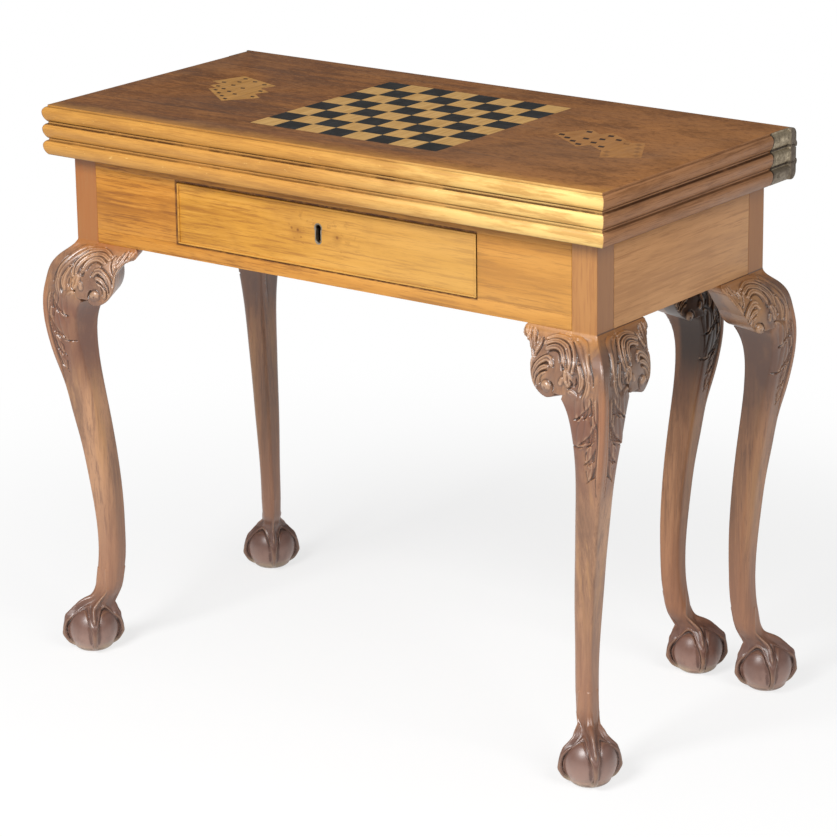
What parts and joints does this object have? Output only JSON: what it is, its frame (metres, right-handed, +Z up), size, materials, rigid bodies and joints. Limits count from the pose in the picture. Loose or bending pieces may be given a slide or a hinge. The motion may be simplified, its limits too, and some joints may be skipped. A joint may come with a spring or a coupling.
{
  "type": "games table",
  "caption": "Folding games table: stacked hinged leaves with inlaid chessboard and playing cards over a frieze drawer, on carved cabriole legs with ball-and-claw feet and a swing leg.",
  "frame": {"origin": "on the floor under the middle of the table's outline", "axes": "+X to the right as the drawer front is faced, +Y to the back, +Z up"},
  "size_m": [0.9188, 0.4742, 0.765],
  "materials": {
    "leaf_walnut": "worn satin polish",
    "frieze_walnut": "satin polish",
    "leg_walnut": "satin polish, dirt in the carving",
    "carcase_beech": "bare planed wood",
    "drawer_lining": "bare planed wood",
    "dark_inlay": "ebonised veneer",
    "light_inlay": "boxwood veneer",
    "card_inlay": "boxwood veneer",
    "hinge_brass": "tarnished",
    "steel": "dull",
    "baize": "napped wool cloth"
  },
  "bodies": {
    "frame": {"front_left_leg": "leg_walnut", "front_right_leg": "leg_walnut", "back_left_leg": "leg_walnut", "back_right_leg": "leg_walnut", "front_left_knee_block_front": "leg_walnut", "front_left_knee_block_side": "leg_walnut", "front_right_knee_block_front": "leg_walnut", "front_right_knee_block_side": "leg_walnut", "back_left_knee_block": "leg_walnut", "back_right_knee_block": "leg_walnut", "front_top_rail": "frieze_walnut", "front_bottom_rail": "frieze_walnut", "front_left_panel": "frieze_walnut", "front_right_panel": "frieze_walnut", "left_side_rail": "frieze_walnut", "right_side_rail": "frieze_walnut", "inner_back_rail": "carcase_beech", "fixed_knuckle_rail": "carcase_beech", "gate_hinge_pin": "steel", "corner_blocks": "carcase_beech", "top_fixing_screws": "steel", "drawer_runners": "carcase_beech", "drawer_guides": "carcase_beech", "drawer_kickers": "carcase_beech", "drawer_stops": "carcase_beech", "bottom_leaf": "leaf_walnut", "bottom_leaf_baize": "baize", "bottom_left_hinge_plate": "hinge_brass", "bottom_right_hinge_plate": "hinge_brass", "bottom_hinge_screws": "steel", "lower_hinge_pins": "steel"},
    "drawer": {"drawer_front": "frieze_walnut", "drawer_left_side": "drawer_lining", "drawer_right_side": "drawer_lining", "drawer_back": "drawer_lining", "drawer_bottom": "drawer_lining", "drawer_cock_beads": "frieze_walnut", "keyhole_escutcheon": "hinge_brass", "lock_case": "hinge_brass", "lock_screws": "steel"},
    "lock_bolt": {"lock_bolt": "steel"},
    "gate": {"gate_leg": "leg_walnut", "gate_knee_block": "leg_walnut", "fly_rail": "carcase_beech"},
    "middle_leaf": {"middle_leaf": "leaf_walnut", "middle_leaf_baize": "baize", "middle_left_hinge_plate": "hinge_brass", "middle_right_hinge_plate": "hinge_brass", "middle_hinge_screws": "steel", "upper_hinge_pins": "steel"},
    "top_leaf": {"top_leaf": "leaf_walnut", "chessboard_dark_squares": "dark_inlay", "chessboard_light_squares": "light_inlay", "left_card_inlay": "card_inlay", "right_card_inlay": "card_inlay", "card_pips": "dark_inlay", "top_left_hinge_plate": "hinge_brass", "top_right_hinge_plate": "hinge_brass", "top_hinge_screws": "steel"}
  },
  "joints": [
    {"name": "drawer_slide", "type": "slide", "parent": "frame", "child": "drawer", "axis": [0, -1, 0], "range_m": [0, 0.22]},
    {"name": "lock_bolt_slide", "type": "slide", "parent": "drawer", "child": "lock_bolt", "axis": [0, 0, 1], "range_m": [0, 0.006]},
    {"name": "gate_swing", "type": "hinge", "parent": "frame", "child": "gate", "pos_m": [-0.06, 0.1665, 0.6], "axis": [0, 0, 1], "range_deg": [0, 90]},
    {"name": "middle_leaf_hinge", "type": "hinge", "parent": "frame", "child": "middle_leaf", "pos_m": [0, 0.2202, 0.72], "axis": [-1, 0, 0], "range_deg": [0, 180]},
    {"name": "top_leaf_hinge", "type": "hinge", "parent": "middle_leaf", "child": "top_leaf", "pos_m": [0, 0.2202, 0.7426], "axis": [1, 0, 0], "range_deg": [-180, 0]}
  ]
}
